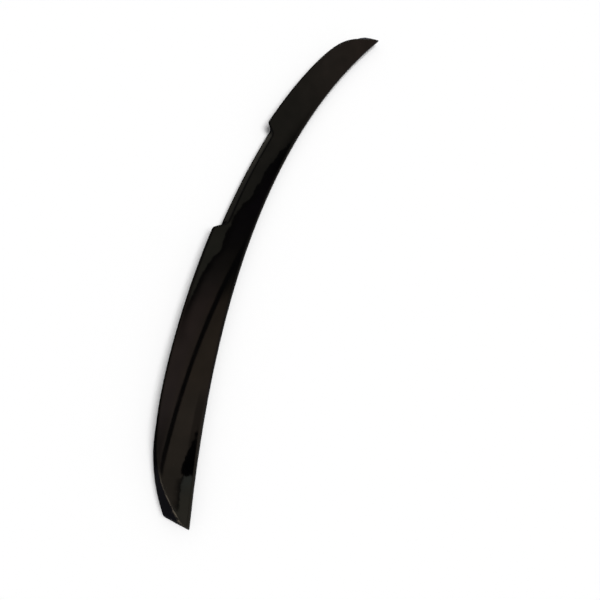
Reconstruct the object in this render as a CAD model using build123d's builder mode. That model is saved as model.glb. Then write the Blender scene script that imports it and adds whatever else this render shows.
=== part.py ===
import math
import os

from build123d import *
from build123d.topology import SkipClean

# Driving sizes in millimetres, slopes as rise over run.
# "Along" is measured on the leading edge from the centre line, "reach" from the leading edge to the rear.
half_span = 590.0  # centre line to each tip, straight across
edge_radius = 1950.0  # plan radius of the leading edge
edge_rise = 13.0  # underside of the leading edge above the base plane
edge_thick = 3.0  # height of the blunt front face
edge_round = 1.0  # top of the front face
ramp_slope = 0.036  # slope of the top at the leading edge
lip_height = 24.4  # lip of a wing above the base plane
lip_reach = 71.4  # leading edge to lip on a wing
lip_turn = 0.89  # reach lost for each millimetre along, near the tip
lip_blend = 2.46  # tightness of the bend between the wing and that run
lip_round = 1.0  # edge of the lip, the step and the crest
crest_reach = 47.3  # leading edge to the crest of the lowered middle
step_start = 112.0  # along, where the step leaves the middle
step_run = 34.0  # along, from there to where it has reached the wing
step_ease_in = 0.8  # softness of the bend out of the middle, for each millimetre of the step's depth
step_ease_out = 0.6  # softness of the bend into the wing, likewise
base_reach = 58.1  # leading edge to the rear foot on the centre line
base_spread = 7.2  # how much further out the foot lies where it starts to turn in
turn_run = 139.5  # along, from the start of that turn to the tip
turn_radius = 221.0  # plan radius of that turn
corner_run = 16.0  # along, from the rear corner of an end to the tip
corner_round = 7.0  # plan radius of that corner
tip_round = 1.2  # plan radius of the front corner of an end
rim = 12.0  # upright foot below the leaning part of the rear wall
wall = 3.0  # moulded wall under the ramp
rear_wall = 4.2  # rear wall at its top, measured level
front_land = 12.0  # bonding land behind the leading edge
rear_land = 5.0  # bonding land under the rear wall
level_from = 54.0  # reach where the underside comes down to the base plane
solid_run = 64.5  # along, from the end of the hollow to the tip
rib_thick = 1.8  # ribs across the hollow
rib_pitch = 88.0  # spacing of the ribs along the edge

# Clearances of the cutting shapes
over = 8.0  # how far a cut passes the material
tip_spare = 2.5  # how far past the tip the line of the lip would meet the leading edge

# Sizes that follow from those above
axis_y = edge_radius + base_reach - rear_land / 2
tip_along = edge_radius * math.asin(half_span / edge_radius)
wing_end = tip_along + over
turn_start = tip_along - turn_run
corner_along = tip_along - corner_run
hollow_end = tip_along - solid_run
edge_top = edge_rise + edge_thick
ramp_gain = lip_height - edge_top - ramp_slope * lip_reach
step_depth = lip_reach - crest_reach
step_end = step_start + step_run
cut_top = lip_height + over
cut_reach = lip_reach + over
upright = Axis((0, axis_y, 0), (0, 0, 1))


def ramp_z(reach):
    return edge_top + ramp_slope * reach + ramp_gain * (reach / lip_reach) ** 2


def lip_at(along):
    run = lip_turn * (tip_along + tip_spare - along)
    if run < over:
        return run
    return (lip_reach**-lip_blend + run**-lip_blend) ** (-1 / lip_blend)


def base_at(along):
    turned = max(along - turn_start, 0) ** 2 / (2 * turn_radius)
    return base_reach + base_spread * (along / turn_start) ** 2 - turned


def turned_by(along):
    return math.degrees(along / edge_radius)


def plan(along, reach):
    return Vector(0, axis_y) + Vector(0, -edge_radius - reach).rotate(Axis.Z, turned_by(along))


def section_plane(along):
    outward = plan(along, 0) - Vector(0, axis_y)
    return Plane((0, axis_y, 0), x_dir=outward, z_dir=outward.rotate(Axis.Z, -90))


def behind_wall(level, foot_in, crest_in):
    """Plan of the space behind the rear wall at one level, with the wall drawn in by two amounts."""

    def wall_reach(along, crest):
        foot = base_at(along) - foot_in
        lean = (crest - crest_in - foot) / (ramp_z(crest) - rim)
        return foot + lean * max(level - rim, 0)

    shares = [i / 12 for i in range(13)]
    stations = [step_end + (wing_end - step_end) * (1 - (1 - share) ** 1.5) for share in shares]
    wing = [plan(along, wall_reach(along, lip_at(along))) for along in stations]
    middle = [plan(along, wall_reach(along, crest_reach)) for along in (-over, step_start / 2, step_start)]
    with BuildSketch(Plane.XY.offset(level)) as space:
        with BuildLine():
            crest = ThreePointArc(*middle)
            leave = middle[-1] + (crest % 1) * (step_ease_in * step_depth)
            arrive = wing[0] - (wing[1] - wing[0]).normalized() * (step_ease_out * step_depth)
            Bezier(middle[-1], leave, arrive, wing[0])
            add(Edge.make_spline(wing, parameters=shares))
            Polyline(wing[-1], plan(wing_end, 2 * cut_reach), plan(-over, 2 * cut_reach), middle[0])
        make_face()
    return space.sketch


def rear_space(foot_in, crest_in):
    return loft([behind_wall(level, foot_in, crest_in) for level in (-over, rim, cut_top)], ruled=True)


def corner_waste(corner, before, after, radius):
    """What lies outside a rounded plan corner between two directions of travel."""
    bend = math.radians(before.get_angle(after)) / 2
    inward = (after - before).normalized()
    centre = corner + inward * (radius / math.cos(bend))
    leave = corner - before * (radius * math.tan(bend))
    arrive = corner + after * (radius * math.tan(bend))
    with BuildSketch(Plane.XY) as waste:
        with BuildLine():
            RadiusArc(leave, arrive, -radius)
            past = [centre + (arrive - centre) * 2, corner - inward * radius, centre + (leave - centre) * 2]
            Polyline(arrive, *past, leave)
        make_face()
    return waste.sketch


# Hollow of one half, open below, with ribs left standing across it
with BuildPart() as hollow:
    with BuildSketch(section_plane(-over)):
        with BuildLine():
            roof_reach = (front_land, (front_land + cut_reach) / 2, cut_reach)
            roof = ThreePointArc(*[(edge_radius + reach, ramp_z(reach) - wall) for reach in roof_reach])
            below = [(edge_radius + reach, -over) for reach in (cut_reach, front_land)]
            Polyline(roof @ 1, *below, roof @ 0)
        make_face()
    revolve(axis=upright, revolution_arc=turned_by(hollow_end + over))
    add(rear_space(rear_land, rear_wall), mode=Mode.SUBTRACT)
    rib_count = int(hollow_end / rib_pitch)
    first_rib = turned_by(rib_pitch / 2) - 90
    rib_sweep = turned_by((rib_count - 1) * rib_pitch)
    with Locations((0, axis_y, 0)):
        with PolarLocations(edge_radius, rib_count, first_rib, rib_sweep, endpoint=True):
            Box(4 * cut_reach, rib_thick, 4 * cut_top, mode=Mode.SUBTRACT)

# One half of the moulding, trimmed at the rear and the end, hollowed and mirrored
with BuildPart() as spoiler:
    with BuildSketch(section_plane(0)):
        with BuildLine():
            front = Line((edge_radius, edge_rise), (edge_radius, edge_top))
            ramp_reach = (0, cut_reach / 2, cut_reach)
            ramp = ThreePointArc(*[(edge_radius + reach, ramp_z(reach)) for reach in ramp_reach])
            Polyline(ramp @ 1, (edge_radius + cut_reach, 0), (edge_radius + level_from, 0), front @ 0)
        profile = make_face()
        fillet(profile.vertices().sort_by_distance((edge_radius, edge_top))[0], edge_round)
    revolve(axis=upright, revolution_arc=turned_by(wing_end))
    add(rear_space(0, 0), mode=Mode.SUBTRACT)

    corner = plan(corner_along, base_at(corner_along))
    tip = plan(tip_along, 0)
    foot_run = (corner - plan(corner_along - 1, base_at(corner_along - 1))).normalized()
    end_run = (tip - corner).normalized()
    edge_run = (plan(tip_along - 1, 0) - tip).normalized()
    with BuildSketch(Plane(corner, x_dir=end_run, z_dir=(0, 0, 1))):
        Rectangle(4 * cut_reach, cut_reach, align=(Align.CENTER, Align.MAX))
    extrude(amount=cut_top, mode=Mode.SUBTRACT)
    add(corner_waste(corner, foot_run, end_run, corner_round))
    add(corner_waste(tip, end_run, edge_run, tip_round))
    extrude(amount=cut_top, mode=Mode.SUBTRACT)

    top = spoiler.faces().filter_by(GeomType.TORUS).sort_by(SortBy.AREA)[-1]
    crest = top.edges().filter_by(GeomType.BSPLINE).filter_by(lambda edge: edge.length > step_depth)
    fillet(crest, lip_round)
    add(hollow.part, mode=Mode.SUBTRACT)
    with SkipClean():
        add(spoiler.part.mirror(Plane.YZ), clean=False)

os.makedirs("parts", exist_ok=True)
spoiler.part.label = "spoiler"
export_step(spoiler.part, "parts/spoiler.step")
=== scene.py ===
import math

import bmesh
import bpy
import numpy as np
from mathutils import Matrix, Vector


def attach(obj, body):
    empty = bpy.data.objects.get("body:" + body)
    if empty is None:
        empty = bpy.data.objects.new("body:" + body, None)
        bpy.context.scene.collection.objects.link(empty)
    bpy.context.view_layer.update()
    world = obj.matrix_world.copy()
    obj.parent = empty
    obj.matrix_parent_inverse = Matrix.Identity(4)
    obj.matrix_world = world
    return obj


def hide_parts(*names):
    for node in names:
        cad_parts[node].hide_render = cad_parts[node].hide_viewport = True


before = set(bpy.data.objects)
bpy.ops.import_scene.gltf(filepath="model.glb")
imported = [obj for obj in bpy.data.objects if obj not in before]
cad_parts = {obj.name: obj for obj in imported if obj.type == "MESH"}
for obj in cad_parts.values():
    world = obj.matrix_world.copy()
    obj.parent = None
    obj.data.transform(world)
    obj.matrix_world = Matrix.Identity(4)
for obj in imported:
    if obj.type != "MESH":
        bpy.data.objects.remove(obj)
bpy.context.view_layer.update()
scene = bpy.context.scene

# Form of the part, in metres: the top is a ramp turned about an upright axis
HALF_SPAN = 0.590
EDGE_RADIUS = 1.950  # plan radius of the leading edge
EDGE_TOP = 0.016  # leading edge above the base plane
RAMP_SLOPE = 0.036  # slope of the top at the leading edge
LIP_HEIGHT = 0.0244
LIP_REACH = 0.0714  # reach is measured from the leading edge to the rear
LIP_TURN = 0.89  # reach lost for each metre along the edge, near the tip
LIP_BLEND = 2.46  # tightness of the bend between the wing and that run
CREST_REACH = 0.0473  # reach of the lowered middle
STEP = (0.112, 0.146)  # along the edge, from the middle to the wing
BASE_REACH = 0.0581
REAR_LAND = 0.005
CUT_SPARE = 0.008  # how far past the lip the ramp's arc is drawn
TIP_SPARE = 0.0025  # how far past the tip the lip would meet the leading edge
AXIS_Y = EDGE_RADIUS + BASE_REACH - REAR_LAND / 2
CUT_REACH = LIP_REACH + CUT_SPARE
LIP_END = EDGE_RADIUS * math.asin(HALF_SPAN / EDGE_RADIUS) + TIP_SPARE

# Shader helpers
BLACK = (0, 0, 0)
WHITE = (1, 1, 1)
MOTTLE_LEVELS = (0.3, 0.7)


def grey(level):
    return (level, level, level)


class Shader:
    """Nodes of a material or a world. A value is a number, a colour or the output of another node."""

    def __init__(self, owner):
        owner.use_nodes = True
        self.tree = owner.node_tree
        self.tree.nodes.clear()

    def feed(self, node, values):
        """Sets or links the node's inputs, each given by its name or number."""
        for key, value in values.items():
            socket = node.inputs[key]
            if isinstance(value, bpy.types.NodeSocket):
                self.tree.links.new(value, socket)
            elif socket.type == "RGBA":
                socket.default_value = (*value, 1)
            else:
                socket.default_value = value

    def add(self, kind, values):
        node = self.tree.nodes.new(kind)
        self.feed(node, values)
        return node

    def place(self):
        return self.add("ShaderNodeTexCoord", {}).outputs["Object"]

    def across(self, place):
        split = self.add("ShaderNodeSeparateXYZ", {0: place})
        return split.outputs["X"], split.outputs["Y"]

    def math(self, operation, first, second=0.0, third=0.0):
        node = self.add("ShaderNodeMath", {0: first, 1: second, 2: third})
        node.operation = operation
        return node.outputs[0]

    def product(self, first, *others):
        for level in others:
            first = self.math("MULTIPLY", first, level)
        return first

    def rise(self, value, span, before=0.0, after=1.0, kind="SMOOTHSTEP"):
        """A level that goes from before to after while the value passes through the span."""
        low, high = span
        values = {"Value": value, "From Min": low, "From Max": high, "To Min": before, "To Max": after}
        node = self.add("ShaderNodeMapRange", values)
        node.interpolation_type = kind
        return node.outputs[0]

    def fall(self, value, span, full=1.0):
        return self.rise(value, span, full, 0.0)

    def above_line(self, x, y, point, slope):
        """How much greater y is than on the straight line through a point."""
        line = self.math("MULTIPLY_ADD", x, slope, point[1] - slope * point[0])
        return self.math("SUBTRACT", y, line)

    def blend(self, share, first, second, kind="MIX"):
        node = self.add("ShaderNodeMix", {"Factor": share})
        node.data_type = "RGBA"
        node.blend_type = kind
        self.feed(node, {6: first, 7: second})
        return node.outputs[2]

    def noise(self, place, scale, detail, rough=0.5):
        values = {"Vector": place, "Scale": scale, "Detail": detail, "Roughness": rough}
        return self.add("ShaderNodeTexNoise", values).outputs["Fac"]

    def ramp(self, value, stops):
        node = self.add("ShaderNodeValToRGB", {0: value})
        elements = node.color_ramp.elements
        while len(elements) < len(stops):
            elements.new(0.5)
        for element, (position, colour) in zip(elements, stops):
            element.position = position
            element.color = (*colour, 1)
        return node.outputs[0]

    def mottle(self, level, *colours):
        """A colour that wanders between two with the level of a noise."""
        return self.ramp(level, list(zip(MOTTLE_LEVELS, colours)))

    def bands(self, x, span, stops):
        """Colours along x, from stop to stop."""
        low, high = span
        shares = [((at - low) / (high - low), colour) for at, colour in stops]
        return self.ramp(self.rise(x, span, kind="LINEAR"), shares)

    def show(self, node):
        self.add("ShaderNodeOutputMaterial", {"Surface": node.outputs[0]})

    def glow(self, colour):
        self.show(self.add("ShaderNodeEmission", {"Color": colour}))


# The moulding: the CAD solid's own mesh, with its facets shaded as the true surfaces
MERGE = 1e-6  # points closer than this are one
ON_RAMP = 4e-5  # a point this close to the ramp lies on it
SMOOTH_ABOVE = math.cos(math.radians(32))  # faces that meet at a smaller angle are shaded as one


def cad_mesh():
    work = bmesh.new()
    work.from_mesh(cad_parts["spoiler"].data)
    bmesh.ops.remove_doubles(work, verts=work.verts, dist=MERGE)
    bmesh.ops.dissolve_degenerate(work, edges=work.edges, dist=MERGE)
    bmesh.ops.recalc_face_normals(work, faces=work.faces)
    mesh = bpy.data.meshes.new("spoiler_moulding")
    work.to_mesh(mesh)
    work.free()
    return mesh


def ramp_z(reach):
    gain = LIP_HEIGHT - EDGE_TOP - RAMP_SLOPE * LIP_REACH
    return EDGE_TOP + RAMP_SLOPE * reach + gain * (reach / LIP_REACH) ** 2


def ramp_circle():
    """Centre and radius of the arc that the ramp is turned from, in reach and height."""
    start, *others = [np.array([reach, ramp_z(reach)]) for reach in (0.0, CUT_REACH / 2, CUT_REACH)]
    rows = np.array([2 * (point - start) for point in others])
    sums = np.array([point @ point - start @ start for point in others])
    centre = np.linalg.solve(rows, sums)
    return centre, np.linalg.norm(start - centre)


def from_axis(points):
    """Directions outward from the upright axis, and the reach behind the leading edge."""
    across = points[:, :2] - np.array([0.0, AXIS_Y])
    far = np.hypot(across[:, 0], across[:, 1])
    return across / far[:, None], far - EDGE_RADIUS


def ramp_normals(points):
    """Upward normals of the ramp above the given points, and how far each lies off the ramp."""
    centre, radius = ramp_circle()
    outward, reach = from_axis(points)
    run = (centre[0] - reach) / radius
    climb = (centre[1] - points[:, 2]) / radius
    size = np.hypot(run, climb)
    normals = np.column_stack([outward * (run / size)[:, None], climb / size])
    return normals, np.abs(size - 1) * radius


def corner_normals(mesh):
    """The ramp's own normals on the top, elsewhere the mean of the faces that meet smoothly."""
    points = np.array([vertex.co for vertex in mesh.vertices])
    faces = np.array([polygon.normal for polygon in mesh.polygons])
    areas = np.array([polygon.area for polygon in mesh.polygons])
    above, off = ramp_normals(points)
    around = [[] for _ in points]
    for polygon in mesh.polygons:
        for index in polygon.vertices:
            around[index].append(polygon.index)
    corners = []
    for polygon in mesh.polygons:
        own = faces[polygon.index]
        for index in polygon.vertices:
            if off[index] < ON_RAMP and own @ above[index] > SMOOTH_ABOVE:
                corners.append(above[index])
                continue
            near = [i for i in around[index] if faces[i] @ own > SMOOTH_ABOVE]
            total = areas[near] @ faces[near]
            corners.append(total / np.linalg.norm(total))
    return corners


moulding = cad_mesh()
moulding.polygons.foreach_set("use_smooth", [True] * len(moulding.polygons))
moulding.normals_split_custom_set(corner_normals(moulding))
spoiler = bpy.data.objects.new("spoiler_moulding", moulding)
scene.collection.objects.link(spoiler)
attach(spoiler, "root")
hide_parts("spoiler")

# Gloss black paint of the outside, with a little orange peel, faint dust and edges softened by the coat
PAINT_NOISE = (18, 3)  # a noise is given by its scale, its detail and, for some, its roughness
PAINT_TONES = (0.0005, 0.0005, 0.0006), (0.0012, 0.0011, 0.0011)
SHEEN_NOISE, SHEEN_LEVELS, SHEEN_ROUGHNESS = (55, 4), (0.25, 0.75), (0.018, 0.035)
PAINT_IOR = 1.5
DUST_NOISE, DUST_LEVELS, DUST_TONE = (900, 1), (0.80, 0.84), (0.03, 0.028, 0.025)
PEEL_NOISE, PEEL_STRENGTH, PEEL_HEIGHT = (160, 2), 0.25, 1e-5
SOFT_EDGE, SOFT_LIP = 0.006, 0.005  # radius at the front and the crest, and at the lip of a wing
SOFT_BAND = (0.008, 0.010)  # distance from an edge over which the softening ends
FRONT_BAND = (0.012, 0.020)  # reach over which the front's radius gives way to the rear's
LEAST_RUN = 0.001  # keeps the lip's formula finite past the tip
BEVEL_SAMPLES = 8


def edge_radius(shader, place):
    """Radius of the softened edge: full next to the front, the lip and the crest, none between them."""
    x, y = shader.across(place)
    behind = shader.math("SUBTRACT", AXIS_Y, y)
    square = shader.math("MULTIPLY_ADD", x, x, shader.math("POWER", behind, 2.0))
    reach = shader.math("SUBTRACT", shader.math("POWER", square, 0.5), EDGE_RADIUS)
    bend = shader.math("ARCTAN2", shader.math("ABSOLUTE", x), behind)
    along = shader.math("MULTIPLY", bend, EDGE_RADIUS)
    run = shader.math("MULTIPLY", shader.math("SUBTRACT", LIP_END, along), LIP_TURN)
    run = shader.math("MAXIMUM", run, LEAST_RUN)
    lip = shader.math("ADD", shader.math("POWER", run, -LIP_BLEND), LIP_REACH**-LIP_BLEND)
    lip = shader.math("POWER", lip, -1 / LIP_BLEND)
    lip = shader.rise(along, STEP, CREST_REACH, lip)
    from_edge = shader.math("MINIMUM", shader.math("SUBTRACT", lip, reach), reach)
    full = shader.rise(along, STEP, SOFT_EDGE, SOFT_LIP)
    full = shader.rise(reach, FRONT_BAND, SOFT_EDGE, full)
    return shader.fall(from_edge, SOFT_BAND, full)


def gloss_black():
    material = bpy.data.materials.new("gloss_black")
    shader = Shader(material)
    place = shader.place()
    tint = shader.mottle(shader.noise(place, *PAINT_NOISE), *PAINT_TONES)
    dust = shader.rise(shader.noise(place, *DUST_NOISE), DUST_LEVELS)
    soft_edge = shader.add("ShaderNodeBevel", {"Radius": edge_radius(shader, place)})
    soft_edge.samples = BEVEL_SAMPLES
    peel = shader.add("ShaderNodeBump", {
        "Strength": PEEL_STRENGTH,
        "Distance": PEEL_HEIGHT,
        "Height": shader.noise(place, *PEEL_NOISE),
        "Normal": soft_edge.outputs[0],
    })
    paint = shader.add("ShaderNodeBsdfPrincipled", {
        "Base Color": shader.blend(dust, tint, DUST_TONE),
        "Roughness": shader.rise(shader.noise(place, *SHEEN_NOISE), SHEEN_LEVELS, *SHEEN_ROUGHNESS),
        "IOR": PAINT_IOR,
        "Normal": peel.outputs[0],
    })
    shader.show(paint)
    return material


# Bare moulded plastic of the underside
BARE_NOISE, BARE_TONES = (40, 3), (grey(0.008), grey(0.013))
DULL_NOISE, DULL_LEVELS, DULL_ROUGHNESS = (300, 2), (0.3, 0.7), (0.42, 0.55)
GRAIN_NOISE, GRAIN_STRENGTH, GRAIN_HEIGHT = (1400, 2), 0.3, 5e-5


def bare_plastic():
    material = bpy.data.materials.new("bare_plastic")
    shader = Shader(material)
    place = shader.place()
    grain = shader.add("ShaderNodeBump", {
        "Strength": GRAIN_STRENGTH,
        "Distance": GRAIN_HEIGHT,
        "Height": shader.noise(place, *GRAIN_NOISE),
    })
    plastic = shader.add("ShaderNodeBsdfPrincipled", {
        "Base Color": shader.mottle(shader.noise(place, *BARE_NOISE), *BARE_TONES),
        "Roughness": shader.rise(shader.noise(place, *DULL_NOISE), DULL_LEVELS, *DULL_ROUGHNESS),
        "Normal": grain.outputs[0],
    })
    shader.show(plastic)
    return material


# Which faces are painted: the top, the rear wall, the front face and the ends
END_FROM = 0.521  # distance from the centre line where an end begins
REAR_FROM = 0.035  # least reach of the rear wall
FRONT_TO = 0.002  # greatest reach of the front face
UPRIGHT = 0.05  # greatest upward part of an upright face's normal
OUTWARD = 0.35  # least outward part of the rear wall's normal


def painted(mesh):
    faces = np.array([polygon.normal for polygon in mesh.polygons])
    centres = np.array([polygon.center for polygon in mesh.polygons])
    outward, reach = from_axis(centres)
    facing_out = (faces[:, :2] * outward).sum(1)
    at_end = np.abs(centres[:, 0]) > END_FROM
    top = faces[:, 2] > UPRIGHT
    rear = (facing_out > OUTWARD) & ((reach > REAR_FROM) | at_end)
    side = (np.abs(faces[:, 2]) < UPRIGHT) & ((reach < FRONT_TO) | at_end)
    return top | rear | side


moulding.materials.append(gloss_black())
moulding.materials.append(bare_plastic())
moulding.polygons.foreach_set("material_index", np.where(painted(moulding), 0, 1).astype(np.int32))


# Stage helpers
def plane(name, material, size, location, rotation=(0, 0, 0)):
    bpy.ops.mesh.primitive_plane_add(size=size, location=location, rotation=rotation)
    piece = bpy.context.object
    piece.name = name
    piece.data.materials.append(material)
    return piece


def only_in_gloss(piece):
    piece.visible_camera = False
    piece.visible_diffuse = False
    piece.visible_shadow = False


# Floor, plain and pale
FLOOR_SIZE, FLOOR_Z = 60, -0.0002


def pale_floor():
    material = bpy.data.materials.new("pale_floor")
    shader = Shader(material)
    shader.show(shader.add("ShaderNodeBsdfDiffuse", {"Color": WHITE}))
    return material


floor = plane("floor", pale_floor(), FLOOR_SIZE, (0, 0, FLOOR_Z))

# What hangs over the part: a dim room that only its gloss shows
CEILING_HEIGHT, CEILING_SIZE = 1.5, 16
COARSE_NOISE, COARSE_OFFSET = (14, 4, 0.6), (-0.008, 0.022)
FINE_NOISE, FINE_OFFSET = (45, 3, 0.6), (-0.012, 0.012)
RAGGED_LEVELS = (0.2, 0.8)
UNEVEN_NOISE = (9, 4)
UNEVEN_TONES = (0.86, 0.88, 0.88), (1.14, 1.12, 1.12)


def ragged(shader, place, kind, offset):
    """An unsteady offset for a border."""
    return shader.rise(shader.noise(place, *kind), RAGGED_LEVELS, *offset, "LINEAR")


# Grey part of the room, in front of a ragged edge with several bends
GREY_EDGE = [
    (-2.00, -0.060),
    (-1.56, 0.014),
    (-1.11, 0.048),
    (-1.05, 0.079),
    (-0.95, 0.097),
    (-0.70, 0.122),
    (-0.62, 0.166),
    (-0.30, 0.247),
]
GREY_BORDER, GREY_END = (-0.004, 0.004), (-0.42, -0.36)
GREY_SPAN = (-3.0, 0.0)
GREY_STOPS = [
    (-3.00, (0.165, 0.126, 0.100)),
    (-2.40, (0.185, 0.152, 0.124)),
    (-1.95, (0.157, 0.142, 0.115)),
    (-1.20, (0.170, 0.160, 0.130)),
    (-0.75, (0.215, 0.210, 0.165)),
    (-0.30, (0.300, 0.285, 0.230)),
]
GREY_DIM, GREY_DIM_SHARE = (-0.06, 0.055), 0.75


def beyond_edge(shader, x, y, offset):
    """How far a place lies in front of the edge."""
    beyond = shader.math("SUBTRACT", offset, GREY_EDGE[0][1])
    beyond = shader.math("ADD", beyond, y)
    for (left, low), (right, high) in zip(GREY_EDGE, GREY_EDGE[1:]):
        climb = shader.rise(x, (left, right), 0.0, high - low, "LINEAR")
        beyond = shader.math("SUBTRACT", beyond, climb)
    return beyond


def with_grey(shader, tone, x, y, beyond):
    far = shader.bands(x, GREY_SPAN, GREY_STOPS)
    far = shader.blend(shader.fall(y, GREY_DIM, GREY_DIM_SHARE), far, BLACK)
    share = shader.product(shader.rise(beyond, GREY_BORDER), shader.fall(x, GREY_END))
    return shader.blend(share, tone, far)


# Warm part of the room, dark next to that edge and dimmer behind a slanting line
WARM_SPAN = (-1.6, 0.6)
WARM_STOPS = [
    (-1.55, BLACK),
    (-1.10, (0.032, 0.022, 0.030)),
    (-0.75, (0.052, 0.045, 0.037)),
    (-0.65, (0.090, 0.077, 0.058)),
    (-0.53, (0.165, 0.135, 0.105)),
    (-0.40, (0.290, 0.210, 0.165)),
    (-0.25, (0.350, 0.255, 0.200)),
    (0.00, (0.400, 0.295, 0.235)),
    (0.15, (0.440, 0.335, 0.280)),
    (0.35, (0.390, 0.305, 0.255)),
    (0.55, (0.340, 0.280, 0.235)),
]
TAIL_BORDER, TAIL_END, TAIL_SHARE = (-0.05, -0.005), (-0.45, -0.12), 0.9
TAIL_TONE = (0.02, 0.018, 0.016)
DIM_LINE = (0.0906, 0.1427), 0.262
DIM_BORDER, DIM_START, DIM_SHARE = (-0.006, 0.002), (0.0, 0.2), 0.42


def warm_part(shader, x, y, beyond):
    tone = shader.bands(x, WARM_SPAN, WARM_STOPS)
    tail = shader.product(shader.rise(beyond, TAIL_BORDER), shader.fall(x, TAIL_END, TAIL_SHARE))
    tone = shader.blend(tail, tone, TAIL_TONE)
    line = shader.above_line(x, y, *DIM_LINE)
    dim = shader.product(shader.fall(line, DIM_BORDER, DIM_SHARE), shader.rise(x, DIM_START))
    return shader.blend(dim, tone, BLACK)


# Paler patch at the end of the warm part, with a dark rim and a shade in front of it
PATCH_LINE = (0.454, 0.2456), 0.277
PATCH_START, PATCH_BORDER = (0.443, 0.451), (-0.004, 0.0)
PATCH_TURN = (0.45, 0.54)
PATCH_TONES = (0.40, 0.41, 0.385), (0.44, 0.395, 0.335)
SHADE_BORDER, SHADE_SHARE = (0.0, 0.035), 0.65
RIM_BORDER, RIM_SHARE, RIM_TONE = (0.002, 0.006), 0.8, grey(0.03)


def with_patch(shader, tone, x, y, offset):
    line = shader.math("ADD", shader.above_line(x, y, *PATCH_LINE), offset)
    begun = shader.rise(shader.math("ADD", x, offset), PATCH_START)
    shade = shader.fall(line, SHADE_BORDER, SHADE_SHARE)
    tone = shader.blend(shader.product(shade, begun), tone, BLACK)
    pale = shader.blend(shader.rise(x, PATCH_TURN), *PATCH_TONES)
    tone = shader.blend(shader.product(shader.fall(line, PATCH_BORDER), begun), tone, pale)
    rim = shader.fall(shader.math("ABSOLUTE", line), RIM_BORDER, RIM_SHARE)
    return shader.blend(shader.product(rim, begun), tone, RIM_TONE)


# Dark wedge that ends at the patch, with a small step in its front side and a slanting cut
WEDGE_LINE = (0.245, 0.1545), 0.512
WEDGE_CUT = (0.4206, 0.246), -0.163
WEDGE_START, WEDGE_BORDER, WEDGE_CUT_BORDER = (0.21, 0.26), (-0.006, 0.0), (-0.004, 0.0)
WEDGE_STEP, WEDGE_STEP_DEPTH = (0.33, 0.345), 0.005


def with_wedge(shader, tone, x, y, offset):
    line = shader.math("ADD", shader.above_line(x, y, *WEDGE_LINE), offset)
    line = shader.math("SUBTRACT", line, shader.rise(x, WEDGE_STEP, 0.0, WEDGE_STEP_DEPTH))
    cut = shader.math("ADD", shader.above_line(x, y, *WEDGE_CUT), offset)
    wedge = shader.product(
        shader.fall(line, WEDGE_BORDER),
        shader.fall(shader.math("ADD", x, offset), PATCH_START),
        shader.rise(x, WEDGE_START),
        shader.fall(cut, WEDGE_CUT_BORDER),
    )
    return shader.blend(wedge, tone, BLACK)


# Dark bar that sags between its ends and has a dark tail, with the room colder and dimmer before it
BAR_ENDS = (-0.673, 0.0078), (0.34, 0.308)
BAR_SAG = 0.0504
BAR_CORE = 0.008
BAR_SIDES, BAR_TAPER = (0.020, 0.014), (-0.5, 0.0)
BAR_SHARE, BAR_TONE = 0.95, (0.012, 0.013, 0.015)
BAR_TAIL_BACK, BAR_TAIL_FRONT = (-0.06, -0.01), (-0.01, 0.0)
BAR_TAIL_END, BAR_TAIL_SHARE = (-0.52, -0.36), 0.8
HUE_BORDER = (-0.02, 0.06)
HUES = (0.96, 1.0, 0.93), (0.95, 0.96, 1.08)
AHEAD_BORDER, AHEAD_START, AHEAD_SHARE = (0.0, 0.03), (0.0, 0.35), 0.52


def above_bar(shader, x, y):
    (left, low), (right, high) = BAR_ENDS
    straight = shader.above_line(x, y, BAR_ENDS[0], (high - low) / (right - left))
    from_ends = [shader.math("SUBTRACT", x, end) for end in (left, right)]
    return shader.math("MULTIPLY_ADD", shader.product(*from_ends), -BAR_SAG, straight)


def with_bar(shader, tone, x, y):
    bar = above_bar(shader, x, y)
    hue = shader.blend(shader.rise(bar, HUE_BORDER), *HUES)
    tone = shader.blend(1.0, tone, hue, "MULTIPLY")
    ahead = shader.product(shader.rise(bar, AHEAD_BORDER), shader.rise(x, AHEAD_START, 0.0, AHEAD_SHARE))
    tone = shader.blend(ahead, tone, BLACK)
    side = shader.rise(x, BAR_TAPER, *BAR_SIDES)
    dark = shader.fall(shader.math("ABSOLUTE", bar), (BAR_CORE, side), BAR_SHARE)
    tail = shader.product(
        shader.rise(bar, BAR_TAIL_BACK),
        shader.fall(bar, BAR_TAIL_FRONT),
        shader.fall(x, BAR_TAIL_END, BAR_TAIL_SHARE),
    )
    return shader.blend(shader.math("MAXIMUM", dark, tail), tone, BAR_TONE)


# Rear half of the room: dark, with a dim glow far back, and a bluish side with a strip lamp
REAR_BORDER, REAR_TONE = (-0.16, -0.08), grey(0.004)
FAR_BACK, FAR_SIDE, FAR_TONE = (-1.3, -0.5), (-0.4, 0.2), (0.11, 0.105, 0.11)
SIDE_LINE = (0.55, 0.1), -1.667
SIDE_BORDER = (-0.1, 0.3)
BLUISH = (0.10, 0.10, 0.125)
LAMP_BACK, LAMP_FRONT, LAMP_SIDE = (-0.46, -0.42), (-0.30, -0.24), (0.0, 0.4)
LAMP_TONE = (3.6, 3.05, 2.3)


def with_rear(shader, tone, x, y):
    far = shader.product(shader.fall(y, FAR_BACK), shader.fall(x, FAR_SIDE))
    cold = shader.blend(far, REAR_TONE, FAR_TONE)
    outer = shader.above_line(x, y, *SIDE_LINE)
    cold = shader.blend(shader.rise(outer, SIDE_BORDER), cold, BLUISH)
    lamp = shader.product(
        shader.rise(y, LAMP_BACK),
        shader.fall(y, LAMP_FRONT),
        shader.rise(outer, LAMP_SIDE),
    )
    cold = shader.blend(lamp, cold, LAMP_TONE)
    return shader.blend(shader.rise(y, REAR_BORDER), cold, tone)


# Bright corner of the room, in front of the part
CORNER_BACK, CORNER_SIDE = (0.35, 0.40), (-0.2, 0.1)
CORNER_TONE = (0.45, 0.42, 0.33)


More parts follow.
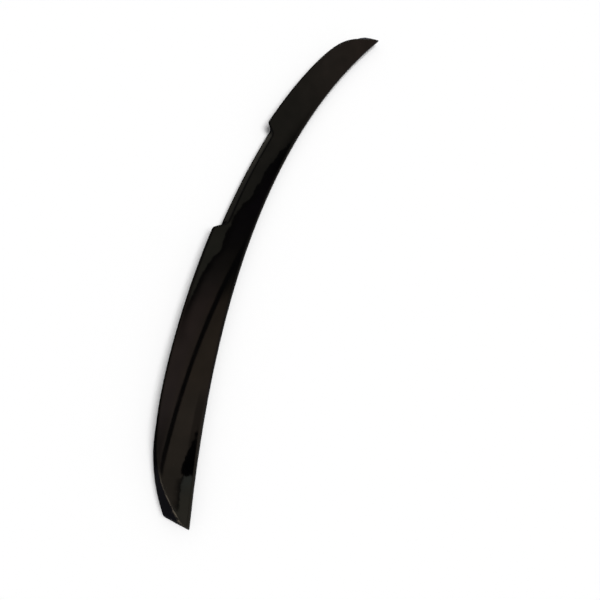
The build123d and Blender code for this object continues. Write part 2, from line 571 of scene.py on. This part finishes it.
def with_corner(shader, tone, x, y):
    corner = shader.product(shader.rise(y, CORNER_BACK), shader.rise(x, CORNER_SIDE))
    return shader.blend(corner, tone, CORNER_TONE)


def dim_room():
    """Its places are in metres. A pair is a soft border's stretch, and a line is a point and a slope."""
    material = bpy.data.materials.new("dim_room")
    shader = Shader(material)
    place = shader.place()
    x, y = shader.across(place)
    coarse = ragged(shader, place, COARSE_NOISE, COARSE_OFFSET)
    fine = ragged(shader, place, FINE_NOISE, FINE_OFFSET)
    beyond = beyond_edge(shader, x, y, coarse)
    tone = warm_part(shader, x, y, beyond)
    tone = with_patch(shader, tone, x, y, fine)
    tone = with_wedge(shader, tone, x, y, fine)
    tone = with_bar(shader, tone, x, y)
    tone = with_grey(shader, tone, x, y, beyond)
    tone = with_rear(shader, tone, x, y)
    tone = with_corner(shader, tone, x, y)
    uneven = shader.mottle(shader.noise(place, *UNEVEN_NOISE), *UNEVEN_TONES)
    shader.glow(shader.blend(1.0, tone, uneven, "MULTIPLY"))
    return material


ceiling = plane("ceiling", dim_room(), CEILING_SIZE, (0, 0, CEILING_HEIGHT))
only_in_gloss(ceiling)

# The wall behind the part, pale at one end, then dark, then bluish
WALL_X, WALL_Y, WALL_WIDTH = -1.5, -3.2, 12
WALL_NOISE = (3, 3)
WALL_TONES = (0.23, 0.213, 0.175), (0.31, 0.287, 0.24)
WALL_DIM, WALL_DIM_SHARE = (-3.3, -2.22), 0.35
WALL_DARK, WALL_DARK_TONE = (-0.9, -0.54), (0.07, 0.068, 0.075)
WALL_BLUISH = (2.1, 2.46)


def on_wall(stretch):
    """A stretch in metres in the wall's own coordinates, which run through one unit from end to end."""
    return [(x - WALL_X) / WALL_WIDTH for x in stretch]


def dim_wall():
    material = bpy.data.materials.new("dim_wall")
    shader = Shader(material)
    place = shader.place()
    x, _ = shader.across(place)
    tone = shader.mottle(shader.noise(place, *WALL_NOISE), *WALL_TONES)
    tone = shader.blend(shader.rise(x, on_wall(WALL_DIM), 0.0, WALL_DIM_SHARE), tone, BLACK)
    tone = shader.blend(shader.rise(x, on_wall(WALL_DARK)), tone, WALL_DARK_TONE)
    tone = shader.blend(shader.rise(x, on_wall(WALL_BLUISH)), tone, BLUISH)
    shader.glow(tone)
    return material


wall = plane("wall", dim_wall(), 1, (WALL_X, WALL_Y, CEILING_HEIGHT / 2), (math.radians(90), 0, 0))
wall.scale = (WALL_WIDTH, CEILING_HEIGHT, 1)
only_in_gloss(wall)

# Painted shade of the ground behind the part: a sheet dim in the gloss alone, with a painted shadow
# darkest close to its middle
MAT_REACH, MAT_SIDE, MAT_Z = (0.03, 4.5), 1.7, 0.0001
MAT_STRIPS = 24
MAT_NOISE = (8, 3)
SHADE_SHEET_TONES = (0.09, 0.09, 0.11), (0.11, 0.11, 0.135)
# reach and share of the painted shadow next to the part
SHADOW_REACH, SHADOW_SHARE = (0.3, 0.6), 0.94
MAT_END, MAT_END_SLANT = (0.56, 0.605), 0.45


def mat_mesh():
    """Strips side by side along the curve of the leading edge."""
    work = bmesh.new()
    for along in np.linspace(-MAT_SIDE, MAT_SIDE, MAT_STRIPS + 1):
        bend = along / EDGE_RADIUS
        for reach in MAT_REACH:
            radius = EDGE_RADIUS + reach
            work.verts.new((radius * math.sin(bend), AXIS_Y - radius * math.cos(bend), MAT_Z))
    work.verts.ensure_lookup_table()
    for i in range(0, 2 * MAT_STRIPS, 2):
        work.faces.new([work.verts[j] for j in (i, i + 1, i + 3, i + 2)])
    mesh = bpy.data.meshes.new("painted_shade_sheet")
    work.to_mesh(mesh)
    work.free()
    return mesh


def painted_floor_shade():
    material = bpy.data.materials.new("painted_floor_shade")
    shader = Shader(material)
    place = shader.place()
    x, y = shader.across(place)
    distance = shader.add("ShaderNodeVectorMath", {0: place, 1: (0, AXIS_Y, 0)})
    distance.operation = "DISTANCE"
    stretch = [EDGE_RADIUS + reach for reach in SHADOW_REACH]
    # painted shadow of the part: the sheet goes black next to the part and towards its middle
    close = shader.fall(distance.outputs["Value"], stretch, SHADOW_SHARE)
    sideways = shader.math("MULTIPLY_ADD", y, MAT_END_SLANT, shader.math("ABSOLUTE", x))
    close = shader.product(close, shader.fall(sideways, MAT_END))
    tone = shader.mottle(shader.noise(place, *MAT_NOISE), *SHADE_SHEET_TONES)
    shader.glow(shader.blend(close, tone, BLACK))
    return material


# the sheet of painted shade and shadow, seen only in the gloss
mat = bpy.data.objects.new("painted_shade_sheet", mat_mesh())
scene.collection.objects.link(mat)
mat.data.materials.append(painted_floor_shade())
only_in_gloss(mat)

# Light: a soft sky, white where it is seen, and a broad soft key from above
SKY_LEVEL, KEY_LEVEL = 0.3, 0.75
KEY_SPREAD = math.radians(40)
KEY_FROM = Vector((0.15, 0.35, 1.0))


def soft_sky():
    world = bpy.data.worlds.new("studio")
    shader = Shader(world)
    sky = shader.add("ShaderNodeBackground", {"Color": WHITE, "Strength": SKY_LEVEL})
    backdrop = shader.add("ShaderNodeBackground", {"Color": WHITE})
    path = shader.add("ShaderNodeLightPath", {})
    seen = shader.math("MAXIMUM", path.outputs["Is Camera Ray"], path.outputs["Is Glossy Ray"])
    seen = shader.math("MAXIMUM", seen, path.outputs["Is Transmission Ray"])
    choice = shader.add("ShaderNodeMixShader", {0: seen, 1: sky.outputs[0], 2: backdrop.outputs[0]})
    shader.add("ShaderNodeOutputWorld", {"Surface": choice.outputs[0]})
    return world


scene.world = soft_sky()
key_data = bpy.data.lights.new("key", "SUN")
key_data.energy = KEY_LEVEL * math.pi
key_data.angle = KEY_SPREAD
key = bpy.data.objects.new("key", key_data)
scene.collection.objects.link(key)
key.visible_glossy = False
key.rotation_mode = "QUATERNION"
key.rotation_quaternion = KEY_FROM.to_track_quat("Z", "Y")

# Camera, at the photograph's place
CAMERA_AZIMUTH = math.radians(84.4397)
CAMERA_ELEVATION = math.radians(62.0644)
CAMERA_ROLL = math.radians(25.9746)
CAMERA_DISTANCE = 0.72538
CAMERA_TARGET = Vector((0.20803, 0.18226, 0.0))
CAMERA_CLIP = 0.01
SENSOR_WIDTH = 36  # millimetres
FOCAL_PIXELS = 410.196
IMAGE_PIXELS = 600

camera_data = bpy.data.cameras.new("camera")
camera_data.sensor_width = SENSOR_WIDTH
camera_data.lens = SENSOR_WIDTH * FOCAL_PIXELS / IMAGE_PIXELS
camera_data.clip_start = CAMERA_CLIP
camera = bpy.data.objects.new("camera", camera_data)
scene.collection.objects.link(camera)
level = math.cos(CAMERA_ELEVATION)
back = Vector((
    math.sin(CAMERA_AZIMUTH) * level,
    -math.cos(CAMERA_AZIMUTH) * level,
    math.sin(CAMERA_ELEVATION),
))
right = (-back).cross(Vector((0, 0, 1))).normalized()
up = right.cross(-back)
tilted_right = right * math.cos(CAMERA_ROLL) + up * math.sin(CAMERA_ROLL)
tilted_up = up * math.cos(CAMERA_ROLL) - right * math.sin(CAMERA_ROLL)
turn = Matrix((tilted_right, tilted_up, back)).transposed().to_4x4()
camera.matrix_world = Matrix.Translation(CAMERA_TARGET + back * CAMERA_DISTANCE) @ turn
scene.camera = camera

scene.view_settings.view_transform = "Standard"
